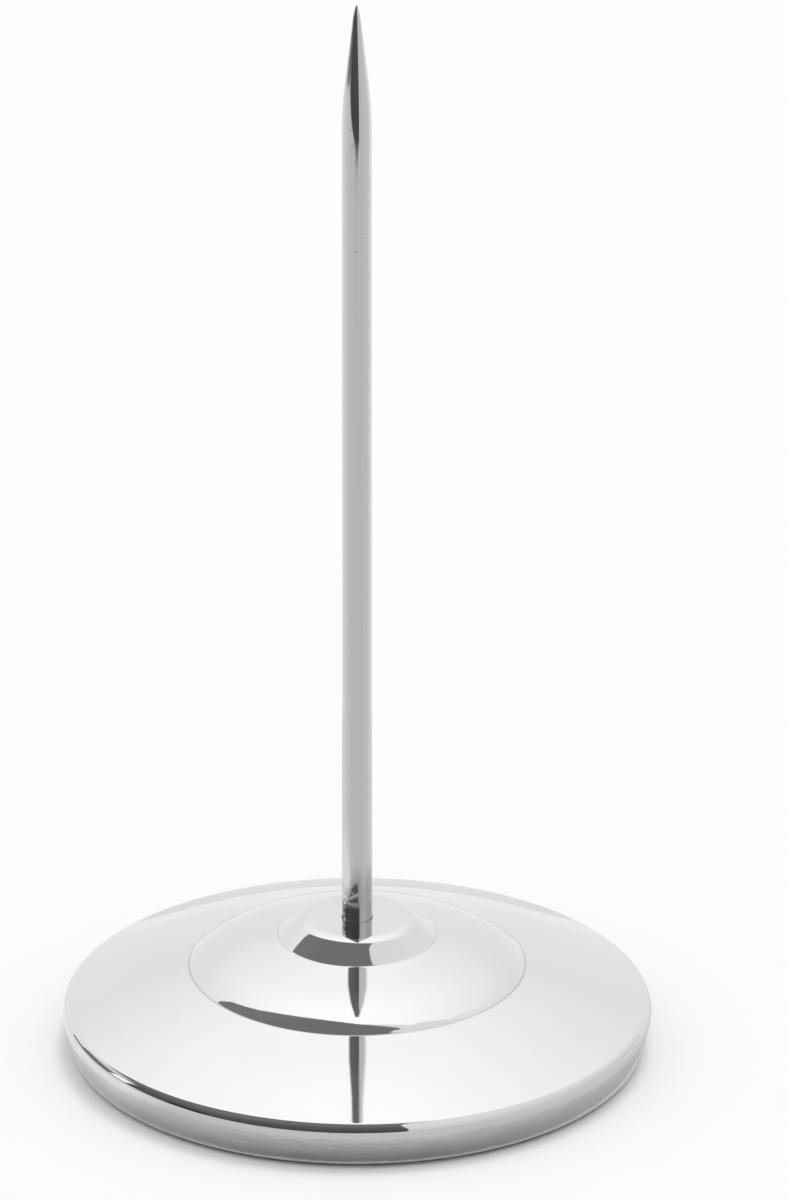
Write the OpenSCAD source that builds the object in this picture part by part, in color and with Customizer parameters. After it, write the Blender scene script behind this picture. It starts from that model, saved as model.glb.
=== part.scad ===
// Bill spike: a pointed bar that stands on a round, stepped and weighted base.
// Millimetres, +Z up. The origin is the centre of the base, on the table.
// Heights are stacked from the table, so a change of one step carries what stands on it.

/* [Spike] */
// Diameter of the bar
spike_d = 5; // [4:0.1:7]
// Height of the spike above the top of the base
spike_h = 165; // [120:1:220]
// Length of the ground point, down to its shoulder
point_l = 18.3; // [10:0.1:30]
// Width of the blunted tip, before its edge is rounded
tip_d = 0.8; // [0.4:0.1:1.4]
// Rounding of the tip
tip_r = 0.35; // [0.1:0.05:0.6]
// Rounding of the shoulder where the point runs into the bar
shoulder_r = 90; // [10:5:150]
// Bevel at the lower end of the bar
bar_bevel = 0.5; // [0.2:0.1:1]
// How far the thread lies under the surface of the bar
thread_under = 0.05; // [0.02:0.01:0.2]
// Depth of the groove that ends the thread, under the surface of the bar
relief_under = 0.3; // [0.25:0.05:0.6]
// Width of that groove
relief_w = 1.2; // [0.6:0.1:2.5]
// Height above the base at which the groove ends and the plain bar begins
runout_h = 0.1; // [0.05:0.05:1]

/* [Cover] */
// Widest diameter of the base
base_d = 98; // [88:1:120]
// Thickness of the pressed sheet
sheet_t = 0.8; // [0.5:0.1:1]
// Gap between the rim and the table
rim_lift = 0.4; // [0.2:0.1:1]
// Rise of the rim from its underside to its outer corner
rim_h = 7.8; // [7:0.1:12]
// Rounding of the rim's outer corner
rim_r = 1.9; // [1:0.1:3]
// Height above the rim's underside at which the wall starts to draw in
draw_in_h = 6; // [4.5:0.1:6.5]
// How far the foot of the wall draws in
draw_in = 1.6; // [0.5:0.1:2.2]
// Rounding of the wall where it draws in
wall_r = 3.5; // [1:0.5:8]
// Rounding of the turned-in edge
hem_r = 1.3; // [1.1:0.1:2]
// Width of the turned-in edge that holds the bottom plate
hem_w = 4.4; // [3:0.1:7]
// Rise of the flange from the rim's corner to the foot of the dome
flange_h = 7; // [4:0.1:10]
// How far the middle of the flange swells above a straight cone
flange_crown = 0.6; // [0.1:0.1:1.2]
// Rounding along the swell of the flange
flange_r = 110; // [40:5:200]
// Diameter of the foot of the dome
dome_d = 56; // [46:1:66]
// Rise of the dome from its foot to the foot of the boss
dome_h = 5.6; // [4:0.1:8]
// Width of the steep edge of the dome
dome_edge_w = 3.8; // [2.5:0.1:5]
// Rise of the steep edge of the dome
dome_edge_h = 2.85; // [1.5:0.05:3.5]
// Rounding between the edge and the top of the dome
dome_edge_r = 19; // [5:0.5:24]
// Diameter of the foot of the boss
boss_d = 26.4; // [24:0.2:34]
// Rise of the boss
boss_h = 3.2; // [2:0.1:5]
// Diameter of the top of the boss, before its edge is rounded
boss_top_d = 18.2; // [16:0.2:22]
// Rounding of the top edge of the boss
boss_edge_r = 2.9; // [1.5:0.1:4]
// Rounding in the two creases, at the foot of the boss and of the dome
crease_r = 0.3; // [0.1:0.05:1]
// Room between the bar and the hole in the cover, on each side
hole_gap = 0.2; // [0.1:0.05:0.5]

/* [Ballast] */
// Thickness of the cast disc
ballast_t = 5; // [3:0.1:6]
// Room between the casting and the cover
ballast_gap = 0.8; // [0.5:0.1:2]
// Diameter of the foot of the hub
hub_foot_d = 27; // [24:0.5:34]
// Room between the top of the hub and the rounded edge of the boss
hub_gap = 0.5; // [0.2:0.1:1.5]
// Rounding of the cast corners
cast_r = 1.2; // [0.5:0.1:2]
// Room between the thread and the hole it screws into, on each side
thread_gap = 0.05; // [0.02:0.01:0.15]
// Room for a box spanner round the nut
spanner_room = 2.2; // [1.5:0.1:4]

/* [Fasteners] */
// Wall of the nut, from its hole to its flats
nut_wall = 1.5; // [1:0.1:3]
// Height of the nut
nut_h = 4; // [2.5:0.1:6]
// Height of the bevel on the corners of the nut
nut_bevel = 0.5; // [0.2:0.1:1]
// Width of the flat washer's ring
washer_w = 2.35; // [1.5:0.05:4]
// Thickness of the flat washer
washer_t = 1; // [0.5:0.1:2]
// Width of the spring washer's ring
spring_w = 2.05; // [1.2:0.05:3]
// Thickness of the spring washer, pressed flat
spring_t = 1.2; // [0.8:0.1:2]
// Angle of the split in the spring washer
spring_split = 10; // [4:1:30]
// Room between the bar and the washers, on each side
washer_gap = 0.15; // [0.05:0.05:0.5]
// Length of thread that stands out of the nut
thread_end = 1.2; // [0.5:0.1:3]

/* [Underside] */
// Thickness of the bottom plate
plate_t = 1; // [0.5:0.1:2]
// Room between the bottom plate and the wall of the cover
plate_gap = 0.6; // [0.5:0.1:1.5]
// Room between the end of the bar and the bottom plate
end_gap = 0.6; // [0.2:0.1:2]
// Room between the rubber foot and the turned-in edge
rubber_gap = 0.5; // [0.2:0.1:2]
// Bevel round the lower edge of the rubber foot
rubber_bevel = 0.3; // [0.1:0.05:0.35]

/* [Hidden] */

$fn = 144;
arc_step = 5;
least_steps = 4;

spike_r = spike_d / 2;
thread_r = spike_r - thread_under;
relief_r = spike_r - relief_under;
base_r = base_d / 2;
foot_r = base_r - draw_in;
dome_r = dome_d / 2;
boss_r = boss_d / 2;

// Heights above the table
plate_z = rim_lift + sheet_t;
ballast_z = plate_z + plate_t;
rim_z = rim_lift + rim_h;
dome_z = rim_z + flange_h;
boss_z = dome_z + dome_h;
top_z = boss_z + boss_h;
hub_z = top_z - sheet_t;
tip_z = top_z + spike_h;
shank_z = top_z + runout_h;
relief_z = shank_z - relief_w;
bar_z = ballast_z + end_gap;
nut_z = bar_z + thread_end;
spring_z = nut_z + nut_h;
washer_z = spring_z + spring_t;
pocket_z = washer_z + washer_t;

// The nut and the pocket that takes it
nut_flats = 2 * (thread_r + thread_gap + nut_wall);
nut_corners = nut_flats / cos(30);
pocket_r = nut_corners / 2 + spanner_room;

// The under face of the flange, as a straight cone below its swell
flange_run = base_r - dome_r;
flange_drop = sheet_t / cos(atan(flange_h / flange_run)) + ballast_gap;
function under_flange_z(r) = rim_z + (base_r - r) * flange_h / flange_run - flange_drop;
function under_flange_r(z) = base_r - (z + flange_drop - rim_z) * flange_run / flange_h;

// A path is a list of [radius, height, rounding]. These work on its corners.
function spot(p) = [p[0], p[1]];
function unit(v) = v / norm(v);
function cross_z(a, b) = a[0] * b[1] - a[1] * b[0];
function turned(v, a) = [v[0] * cos(a) - v[1] * sin(a), v[0] * sin(a) + v[1] * cos(a)];
function inside(path, i) = i > 0 && i < len(path) - 1;
function heading(path, i) = unit(spot(path[i + 1]) - spot(path[i]));
function span(path, i) = norm(spot(path[i + 1]) - spot(path[i]));
function turn(path, i) = acos(min(1, heading(path, i - 1) * heading(path, i)));

// Length of straight that a rounding takes from each side of its corner
function taken(path, i) = inside(path, i) ? path[i][2] * tan(turn(path, i) / 2) : 0;
// Share of a straight that its two roundings may use
function share(path, i) = min(1, 0.98 * span(path, i) / max(0.001, taken(path, i) + taken(path, i + 1)));
// The path with each rounding limited by the straights beside it
function fitted(path) = [
    for (i = [0 : len(path) - 1])
    inside(path, i)
    ? [path[i][0], path[i][1], path[i][2] * min(share(path, i - 1), share(path, i))]
    : path[i]
];

// Points of the arc that rounds one corner
function corner_arc(path, i) =
    let (
        out = heading(path, i),
        back = -heading(path, i - 1),
        bend = turn(path, i) / 2,
        axis = unit(out + back),
        centre = spot(path[i]) + axis * path[i][2] / cos(bend),
        way = sign(cross_z(-axis, back)),
        steps = max(least_steps, ceil(2 * bend / arc_step))
    )
    [for (k = [0 : steps]) centre + path[i][2] * turned(-axis, way * bend * (1 - 2 * k / steps))];

function rounded(path) = [
    for (i = [0 : len(path) - 1])
    each (inside(path, i) && path[i][2] > 0 ? corner_arc(path, i) : [spot(path[i])])
];

// The path moved to its right-hand side by a sheet's thickness
function right_of(d) = [d[1], -d[0]];
function moved(path, t) = [
    for (i = [0 : len(path) - 1])
    let (
        a = right_of(heading(path, max(0, i - 1))),
        b = right_of(heading(path, min(len(path) - 2, i))),
        p = spot(path[i]) + t * (a + b) / (1 + a * b),
        inward = inside(path, i) ? -sign(cross_z(heading(path, i - 1), heading(path, i))) : 0
    )
    [p[0], p[1], max(0, path[i][2] - inward * t)]
];
function reversed(list) = [for (i = [len(list) - 1 : -1 : 0]) list[i]];

// Outer face of the cover, from the hole for the bar out to the rim and under to the hem
cover_path = fitted([
    [spike_r + hole_gap, top_z, 0],
    [boss_top_d / 2, top_z, boss_edge_r],
    [boss_r, boss_z, crease_r],
    [dome_r - dome_edge_w, dome_z + dome_edge_h, dome_edge_r],
    [dome_r, dome_z, crease_r],
    [(dome_r + base_r) / 2, (dome_z + rim_z) / 2 + flange_crown, flange_r],
    [base_r, rim_z, rim_r],
    [base_r, rim_lift + draw_in_h, wall_r],
    [foot_r, rim_lift, hem_r],
    [foot_r - hem_w, rim_lift, 0]
]);

// The hub stops where the rounding of the boss begins
hub_r = boss_top_d / 2 - taken(cover_path, 1) - hub_gap;
disc_r = foot_r - sheet_t - ballast_gap;
disc_z = ballast_z + ballast_t;
// The edge of the disc is cut back where the flange would meet it
disc_top_r = min(disc_r, under_flange_r(disc_z));
disc_side_z = min(disc_z, under_flange_z(disc_r));
ballast_path = fitted([
    [thread_r + thread_gap, hub_z, 0],
    [hub_r, hub_z, 0],
    [hub_foot_d / 2, disc_z, cast_r],
    [disc_top_r - cast_r, disc_z, 0],
    [disc_r, disc_side_z - cast_r, 0],
    [disc_r, ballast_z, 0],
    [pocket_r, ballast_z, 0],
    [pocket_r, pocket_z, cast_r],
    [thread_r + thread_gap, pocket_z, 0]
]);

// Side of the bar, from its lower end up to the tip
spike_path = fitted([
    [0, bar_z, 0],
    [thread_r - bar_bevel, bar_z, 0],
    [thread_r, bar_z + bar_bevel, 0],
    [thread_r, relief_z, 0],
    [relief_r, relief_z, 0],
    [relief_r, shank_z, 0],
    [spike_r, shank_z, 0],
    [spike_r, tip_z - point_l, shoulder_r],
    [tip_d / 2, tip_z, tip_r],
    [0, tip_z, 0]
]);

module ring(inner_r, width, height) {
    difference() {
        cylinder(r = inner_r + width, h = height);
        translate([0, 0, -1]) cylinder(r = inner_r, h = height + 2);
    }
}

// Bright bar with a ground point, threaded from its lower end up to a groove at the cover
module spike() {
    color([0.78, 0.78, 0.79])
    rotate_extrude()
    polygon(rounded(spike_path));
}

// Pressed and polished shell with its edge turned in
module base_cover() {
    color([0.86, 0.86, 0.87])
    rotate_extrude()
    polygon(concat(rounded(cover_path), reversed(rounded(moved(cover_path, sheet_t)))));
}

// Cast weight, whose tapped hub carries the spike and the middle of the cover
module ballast() {
    color([0.27, 0.27, 0.28])
    rotate_extrude()
    polygon(rounded(ballast_path));
}

module flat_washer() {
    color([0.68, 0.68, 0.66])
    translate([0, 0, washer_z])
    ring(spike_r + washer_gap, washer_w, washer_t);
}

module spring_washer() {
    color([0.5, 0.5, 0.5])
    translate([0, 0, spring_z])
    rotate([0, 0, spring_split / 2])
    rotate_extrude(angle = 360 - spring_split)
    translate([spike_r + washer_gap, 0])
    square([spring_w, spring_t]);
}

// Hexagon with bevelled corners, drawn with a plain hole in place of its thread
module hex_nut() {
    color([0.66, 0.66, 0.63])
    translate([0, 0, nut_z])
    difference() {
        intersection() {
            cylinder(d = nut_corners, h = nut_h, $fn = 6);
            rotate_extrude()
            polygon([
                [0, 0],
                [nut_flats / 2, 0],
                [nut_corners / 2, nut_bevel],
                [nut_corners / 2, nut_h - nut_bevel],
                [nut_flats / 2, nut_h],
                [0, nut_h]
            ]);
        }
        translate([0, 0, -1]) cylinder(r = thread_r + thread_gap, h = nut_h + 2);
    }
}

// Steel disc that closes the base and lies on the turned-in edge
module bottom_plate() {
    color([0.56, 0.57, 0.58])
    translate([0, 0, plate_z])
    ring(pocket_r, foot_r - sheet_t - plate_gap - pocket_r, plate_t);
}

// Soft non-slip disc that the base stands on
module rubber_foot() {
    rubber_r = foot_r - hem_w - rubber_gap;
    color([0.09, 0.09, 0.09])
    rotate_extrude()
    polygon([
        [0, 0],
        [rubber_r - rubber_bevel, 0],
        [rubber_r, rubber_bevel],
        [rubber_r, plate_z],
        [0, plate_z]
    ]);
}

spike();
base_cover();
ballast();
flat_washer();
spring_washer();
hex_nut();
bottom_plate();
rubber_foot();
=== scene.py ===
"""Bill spike: smooth polished pieces, their finishes, a small studio and the camera.

Lengths are in metres. Sizes of the pieces are written in millimetres, times MM.
"""
import math

import bpy
import numpy as np
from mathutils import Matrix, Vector


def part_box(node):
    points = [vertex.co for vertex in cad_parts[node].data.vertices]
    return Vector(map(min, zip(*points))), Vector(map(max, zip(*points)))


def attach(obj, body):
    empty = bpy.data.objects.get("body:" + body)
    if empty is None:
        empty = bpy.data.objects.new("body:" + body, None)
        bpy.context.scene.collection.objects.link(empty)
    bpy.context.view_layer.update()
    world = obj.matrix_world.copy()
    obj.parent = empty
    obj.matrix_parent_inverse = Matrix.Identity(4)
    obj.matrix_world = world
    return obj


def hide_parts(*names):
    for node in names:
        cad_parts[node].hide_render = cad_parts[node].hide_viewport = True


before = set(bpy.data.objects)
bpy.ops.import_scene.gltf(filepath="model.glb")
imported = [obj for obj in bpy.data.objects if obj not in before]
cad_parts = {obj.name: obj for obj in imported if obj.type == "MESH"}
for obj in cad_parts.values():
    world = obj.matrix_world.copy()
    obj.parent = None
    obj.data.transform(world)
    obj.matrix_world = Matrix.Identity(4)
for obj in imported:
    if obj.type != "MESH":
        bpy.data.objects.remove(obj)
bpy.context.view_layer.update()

MM = 0.001

# Spike, as in the solids
SPIKE_R = 2.5 * MM
POINT_L = 18.3 * MM
SHOULDER_R = 90 * MM
BAR_BEVEL = 0.5 * MM
THREAD_R = 2.45 * MM
RELIEF_R = 2.2 * MM
RELIEF_W = 1.2 * MM

# Thread and turned edges, which the solids leave plain
THREAD_PITCH = 0.8 * MM
THREAD_DEPTH = 0.45 * MM
THREAD_FLAT = 0.2
THREAD_STEP = THREAD_PITCH / 10
TURNED_EDGE_R = 0.05 * MM

# Depth of the shank's end in the cover's hole; in the solids it ends just above the hole
SHANK_DIP = 0.4 * MM

# Needle end of the point, ground sharper than in the solids
NEEDLE_L = 2.2 * MM
NEEDLE_R = 0.64 * MM
NEEDLE_ROUND = 8 * MM
NEEDLE_TIP_R = 0.16 * MM

# Cover, as in the solids
SHEET_T = 0.8 * MM
RIM_LIFT = 0.4 * MM
RIM_H = 7.8 * MM
RIM_R = 1.9 * MM
DRAW_IN_H = 6 * MM
DRAW_IN = 1.6 * MM
WALL_R = 3.5 * MM
HEM_R = 1.3 * MM
HEM_W = 4.4 * MM
FLANGE_H = 7 * MM
FLANGE_CROWN = 0.6 * MM
FLANGE_R = 110 * MM
DOME_R = 28 * MM
DOME_H = 5.6 * MM
BOSS_R = 13.2 * MM
BOSS_H = 3.2 * MM
BOSS_TOP_R = 9.1 * MM
BOSS_EDGE_R = 2.9 * MM
CREASE_R = 0.3 * MM

# Cover, where it is finer than in the solids: the dome's eased curve, the hole and the sheet's edge
DOME_EDGE_W = 2.7 * MM
DOME_EDGE_H = 2.14 * MM
DOME_EDGE_R = 20 * MM
DOME_CROWN_R = 20.2 * MM
DOME_CROWN_H = 3.907 * MM
DOME_CROWN_ROUND = 40 * MM
HOLE_GAP = 0.03 * MM
HOLE_EDGE_R = 0.06 * MM
SHEET_EDGE_R = 0.12 * MM

# Rubber foot, as in the solids
RUBBER_BEVEL = 0.3 * MM

# Inner pieces, as in the solids
THREAD_GAP = 0.05 * MM
DISC_T = 5 * MM
HUB_FOOT_R = 13.5 * MM
HUB_GAP = 0.5 * MM
CAST_R = 1.2 * MM
SPANNER_ROOM = 2.2 * MM
NUT_BEVEL = 0.5 * MM
WASHER_GAP = 0.15 * MM
SPLIT = math.radians(10)

# Edges of the inner pieces, which the solids leave sharp
CAST_EDGE_R = 0.5 * MM
COUNTERSINK = 0.2 * MM
PUNCHED_EDGE_R = 0.25 * MM
SHEARED_EDGE_R = 0.06 * MM
SPRING_EDGE_R = 0.12 * MM

# How densely a section is sampled: this length counts as much as this turn of its heading
LENGTH_STEP = 1.2 * MM
TURN_STEP = math.radians(1.6)

# Radii of the pieces, and heights above the table
BASE_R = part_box("base_cover")[1].x
POCKET_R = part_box("hex_nut")[1].x + SPANNER_ROOM
WASHER_R = SPIKE_R + WASHER_GAP
PLATE_Z = RIM_LIFT + SHEET_T
RIM_Z = RIM_LIFT + RIM_H
DOME_Z = RIM_Z + FLANGE_H
BOSS_Z = DOME_Z + DOME_H
TOP_Z = BOSS_Z + BOSS_H
SHANK_Z = TOP_Z - SHANK_DIP
RELIEF_Z = SHANK_Z - RELIEF_W
BAR_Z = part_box("spike")[0].z
TIP_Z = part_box("spike")[1].z
POINT_Z = TIP_Z - POINT_L

# Marks on the bar: a painted dark reflection and a band of painted shade above its foot, two painted
# glints at the foot, and scuffs below the point
DARK_PATCH_Z = TOP_Z + 3.4 * MM
SHADE_BAND_Z = TOP_Z + 10 * MM
SHADE_BAND_FALL = 8 * MM
GLINTS = (
    (-2.08 * MM, -1.39 * MM, TOP_Z + 3.1 * MM),
    (-2.15 * MM, -1.28 * MM, TOP_Z + 0.1 * MM),
)
SCUFFS = (
    (-0.6 * MM, -2.42 * MM, TIP_Z - 17.6 * MM),
    (-0.9 * MM, -2.33 * MM, TIP_Z - 24 * MM),
)

# Floor
FLOOR_HALF = 6.0
FLOOR_Z = -0.05 * MM
FLOOR_WHITE = 0.92

# Brightness of the white surround: in front, behind, in a softbox overhead, in a grey panel beside
# it, the loss low down in front and on the right, and the weaker fill that lights the floor
FRONT_LEVEL = 0.9
BACK_LEVEL = 0.96
SOFTBOX_LEVEL = 1.3
PANEL_LEVEL = 0.9
LOW_LOSS = 0.19
FILL = 0.82

# Soft lamp, nearly straight above
LAMP_WAY = (-0.12, -0.06, -1)
LAMP_WIDTH = math.radians(24)
LAMP_POWER = 0.78

# The dark half of the room, in front and on the left. Corners are (x, z) on the front wall, (y, z) on
# the left wall, which leans to the right as it goes back, and (x, y) on the ceiling.
WALL_Y = -0.372
CORNER_X = -0.656
LEFT_LEAN = 0.263
CEILING = 0.8
FRONT_WALL = ((CORNER_X, 0), (0.12, 0), (0.132, 0.38), (0.175, CEILING), (CORNER_X, CEILING))
LEFT_WALL = (
    (WALL_Y, 0), (WALL_Y, CEILING), (0.25, CEILING), (0.275, 0.67), (0.3, 0.59), (0.316, 0.545),
    (0.32, 0.45), (0.33, 0.1), (0.42, 0.09), (0.42, 0.015), (0.1, 0.022), (-0.05, 0.028), (-0.3, 0.02),
)
DARK_CEILING = (
    (CORNER_X, WALL_Y), (0.175, WALL_Y), (0.155, -0.19), (0.165, -0.14), (0.19, -0.11), (0.225, -0.09),
    (0.22, -0.075), (0, -0.02), (-0.12, 0.032), (-0.254, 0.1), (-0.357, 0.158), (-0.492, 0.25),
)

# Brightness of the dark room, and where its corner, its window and its slot are
DARK_FOOT_LEVEL = 0.07
DARK_TOP_LEVEL = 0.2
DARK_BACK_LEVEL = 0.22
CORNER_DEGREES = -66
CORNER_LOSS = 0.8
WINDOW_DEGREES = -99
WINDOW_LEVEL = 1.2
SLOT_Z = 0.29
SLOT_LEVEL = 0.6

# Veil over the floor: its inner and outer radius, its sides, the width of its ring close to the base,
# the share of light that it lets through at degrees round the axis and under the rim, and what it
# takes or gives in places
VEIL_IN = BASE_R - 5 * MM
VEIL_OUT = 5.5
VEIL_SIDES = 180
VEIL_CLOSE_W = 5.5 * MM
VEIL_STOPS = (
    (-140, 1.0), (-102, 0.88), (-72, 0.77), (-45, 0.71), (0, 0.69),
    (12, 0.7), (24, 0.79), (48, 0.86), (76, 0.89), (130, 1.0),
)
VEIL_UNDER_SHARE = 0.25
VEIL_LOSS = 0.16
VEIL_GAIN = 1.34

# Glowing line in the veil, under the rim: painted light for the foot of the wall to mirror
GLOW_LINE_R = BASE_R - 0.9 * MM
GLOW_LINE_LEVEL = 0.22

# The photograph: its size, its scale, and where the foot of the axis lies in it
PHOTO_W = 787
PHOTO_H = 1200
PX_PER_M = 6040
AXIS_PX = 357
TABLE_PX = 1049.4
CAMERA_ELEVATION = math.radians(24.5)
CAMERA_DISTANCE = 5.0
SENSOR_MM = 36


def skin(name, grid, closed_rows=False, first_pole=None, last_pole=None):
    """A mesh over a grid of points [row, column, xyz] whose columns run round and join up.

    Each row joins the next by four-sided faces. Rows also join last to first where closed_rows
    is set, and a pole is one more point that a fan of triangles joins to the end row. The faces
    are turned round if they enclose a volume below zero, so that they point outwards.
    """
    rows, columns = grid.shape[:2]
    points = grid.reshape(-1, 3)
    here = np.arange(rows if closed_rows else rows - 1)[:, None] * columns
    there = (here + columns) % (rows * columns)
    column = np.arange(columns)[None, :]
    after = (column + 1) % columns
    quads = np.stack([here + column, here + after, there + after, there + column], -1).reshape(-1, 4)
    triangles = np.zeros((0, 3), int)
    for pole, start, order in ((first_pole, 0, -1), (last_pole, (rows - 1) * columns, 1)):
        if pole is not None:
            ring = start + np.arange(columns)
            fan = np.stack([ring, np.roll(ring, -1), np.full(columns, len(points))], -1)
            triangles = np.vstack([triangles, fan[:, ::order]])
            points = np.vstack([points, pole])
    halves = np.vstack([quads[:, :3], quads[:, [0, 2, 3]], triangles])
    a, b, c = (points[halves[:, i]] for i in range(3))
    if np.einsum("ij,ij->", a, np.cross(b, c)) < 0:
        quads = quads[:, ::-1]
        triangles = triangles[:, ::-1]
    mesh = bpy.data.meshes.new(name)
    mesh.from_pydata(points.tolist(), [], quads.tolist() + triangles.tolist())
    mesh.polygons.foreach_set("use_smooth", np.ones(len(mesh.polygons), bool))
    mesh.update()
    piece = bpy.data.objects.new(name, mesh)
    bpy.context.scene.collection.objects.link(piece)
    return piece


def turned(r, z, columns):
    """Grid of a lathe surface: the section (r, z) carried round the Z axis in equal steps."""
    angle = np.arange(columns) * 2 * math.pi / columns
    return np.stack(
        [np.outer(r, np.cos(angle)), np.outer(r, np.sin(angle)), np.outer(z, np.ones(columns))], -1
    )


def averaged(values, width):
    """Running mean over an odd number of samples, twice, with the ends carried on straight."""
    window = np.ones(width) / width
    for _ in range(2):
        longer = np.pad(values, width // 2, mode="reflect", reflect_type="odd")
        values = np.convolve(longer, window, "valid")
    return values


def section(corners, count, step, blend, spread=LENGTH_STEP):
    """Points and headings along straights that arcs join, from [radius, height, rounding] corners.

    The heading is constant along a straight and changes evenly along an arc, and summing it up gives
    points a step apart. They are averaged over the length blend, as polishing does to an edge. Of
    these, count are kept, closer together where the heading changes fast: a length of spread counts
    as much as TURN_STEP of heading.
    """
    corners = np.array(corners)
    legs = np.diff(corners[:, :2], axis=0)
    heading = np.unwrap(np.arctan2(legs[:, 1], legs[:, 0]))
    bend = np.abs(np.diff(heading))
    taken = corners[1:-1, 2] * np.tan(bend / 2)
    runs = np.zeros(2 * len(legs) - 1)
    runs[0::2] = np.hypot(legs[:, 0], legs[:, 1]) - np.append(0, taken) - np.append(taken, 0)
    runs[1::2] = corners[1:-1, 2] * bend
    breaks = np.append(0, np.cumsum(runs))
    s = np.linspace(0, breaks[-1], round(breaks[-1] / step))
    raw = np.interp((s[1:] + s[:-1]) / 2, breaks, np.repeat(heading, 2))
    width = round(blend / step) | 1
    r = averaged(corners[0, 0] + np.append(0, np.cumsum(np.cos(raw) * np.diff(s))), width)
    z = averaged(corners[0, 1] + np.append(0, np.cumsum(np.sin(raw) * np.diff(s))), width)
    soft = np.unwrap(np.arctan2(np.gradient(z), np.gradient(r)))
    weight = np.cumsum(np.gradient(s) / spread + np.abs(np.gradient(soft)) / TURN_STEP)
    keep = np.interp(np.linspace(weight[0], weight[-1], count), weight, s)
    return np.interp(keep, s, r), np.interp(keep, s, z), np.interp(keep, s, soft)


def make_cover():
    """Sheet shell: a lathe surface round a closed section.

    The outer face follows the corners of the pressing. The inner face is the outer one moved
    inwards by the sheet's thickness, square to its heading, with every fourth of its points.
    """
    hole = SPIKE_R + HOLE_GAP
    foot = BASE_R - DRAW_IN
    lip = foot - HEM_W
    r, z, heading = section([
        [hole, TOP_Z - SHEET_T, 0],
        [hole, TOP_Z, HOLE_EDGE_R],
        [BOSS_TOP_R, TOP_Z, BOSS_EDGE_R],
        [BOSS_R, BOSS_Z, CREASE_R],
        [DOME_CROWN_R, DOME_Z + DOME_CROWN_H, DOME_CROWN_ROUND],
        [DOME_R - DOME_EDGE_W, DOME_Z + DOME_EDGE_H, DOME_EDGE_R],
        [DOME_R, DOME_Z, CREASE_R],
        [(DOME_R + BASE_R) / 2, (DOME_Z + RIM_Z) / 2 + FLANGE_CROWN, FLANGE_R],
        [BASE_R, RIM_Z, RIM_R],
        [BASE_R, RIM_LIFT + DRAW_IN_H, WALL_R],
        [foot, RIM_LIFT, HEM_R],
        [lip, RIM_LIFT, SHEET_EDGE_R],
        [lip, PLATE_Z, 0],
    ], count=250, step=0.02 * MM, blend=0.3 * MM)
    inner = (r > hole + SHEET_T) & ((z > PLATE_Z) | (r > lip + SHEET_T))
    inner_r = (r + np.sin(heading) * SHEET_T)[inner][::-4]
    inner_z = (z - np.cos(heading) * SHEET_T)[inner][::-4]
    grid = turned(np.append(r, inner_r), np.append(z, inner_z), columns=300)
    return skin("base_cover_polished", grid, closed_rows=True)


def thread(z, columns, low, high, fade):
    """Depth of a thread's groove at each height and way round, from nought to THREAD_DEPTH.

    It falls and rises once a pitch, by a triangle wave of height and turn whose ends are cut flat, so
    that the groove climbs one pitch a turn. It fades in and out over the length fade at its two ends.
    """
    turn = np.arange(columns) / columns
    wave = np.abs(((z[:, None] / THREAD_PITCH - turn[None, :]) % 1) * 2 - 1)
    ends = np.minimum(z - low, high - z) / fade
    cut = np.clip((1 + 2 * THREAD_FLAT) * wave - THREAD_FLAT, 0, 1)
    return THREAD_DEPTH * cut * np.clip(ends, 0, 1)[:, None]


def drawn_in(grid, depth):
    """The grid of a lathe surface with each point moved towards the axis by its depth."""
    radius = np.hypot(grid[:, :, 0], grid[:, :, 1])
    moved = grid.copy()
    moved[:, :, :2] *= (1 - depth / np.maximum(radius, SPIKE_R / 10))[:, :, None]
    return moved


def make_spike():
    """Bar with a ground point: a lathe surface, cut by a helix along its threaded end."""
    columns = 128
    thread_low = BAR_Z + BAR_BEVEL
    thread_high = RELIEF_Z - 2 * TURNED_EDGE_R
    thread_z = np.arange(thread_low, thread_high, THREAD_STEP)
    upper_r, upper_z, _ = section([
        [THREAD_R, thread_high, 0],
        [THREAD_R, RELIEF_Z, TURNED_EDGE_R],
        [RELIEF_R, RELIEF_Z, TURNED_EDGE_R],
        [RELIEF_R, SHANK_Z, TURNED_EDGE_R],
        [SPIKE_R, SHANK_Z, TURNED_EDGE_R],
        [SPIKE_R, POINT_Z, SHOULDER_R],
        [NEEDLE_R, TIP_Z - NEEDLE_L, NEEDLE_ROUND],
        [NEEDLE_TIP_R, TIP_Z, 0.7 * NEEDLE_TIP_R],
        [0.05 * NEEDLE_TIP_R, TIP_Z, 0],
    ], count=260, step=0.01 * MM, blend=0.05 * MM)
    lower_r = [0.3 * THREAD_R, THREAD_R - BAR_BEVEL]
    r = np.concatenate([lower_r, np.full(len(thread_z), THREAD_R), upper_r])
    z = np.concatenate([[BAR_Z, BAR_Z], thread_z, upper_z])
    groove = thread(z, columns, thread_low, RELIEF_Z, THREAD_PITCH)
    grid = drawn_in(turned(r, z, columns), groove)
    return skin("spike_polished", grid, first_pole=[0, 0, BAR_Z], last_pole=[0, 0, TIP_Z])


def make_rubber_foot():
    """Rubber disc: a lathe surface with a rounded lower edge and a slightly rounded upper one."""
    rubber_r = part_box("rubber_foot")[1].x
    centre = 0.02 * rubber_r
    r, z, _ = section([
        [centre, PLATE_Z, 0],
        [rubber_r, PLATE_Z, RUBBER_BEVEL / 3],
        [rubber_r, 0, RUBBER_BEVEL],
        [centre, 0, 0],
    ], count=120, step=0.02 * MM, blend=0.06 * MM)
    grid = turned(r, z, columns=256)
    return skin("rubber_foot_moulded", grid, first_pole=[0, 0, PLATE_Z], last_pole=[0, 0, 0])


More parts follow.
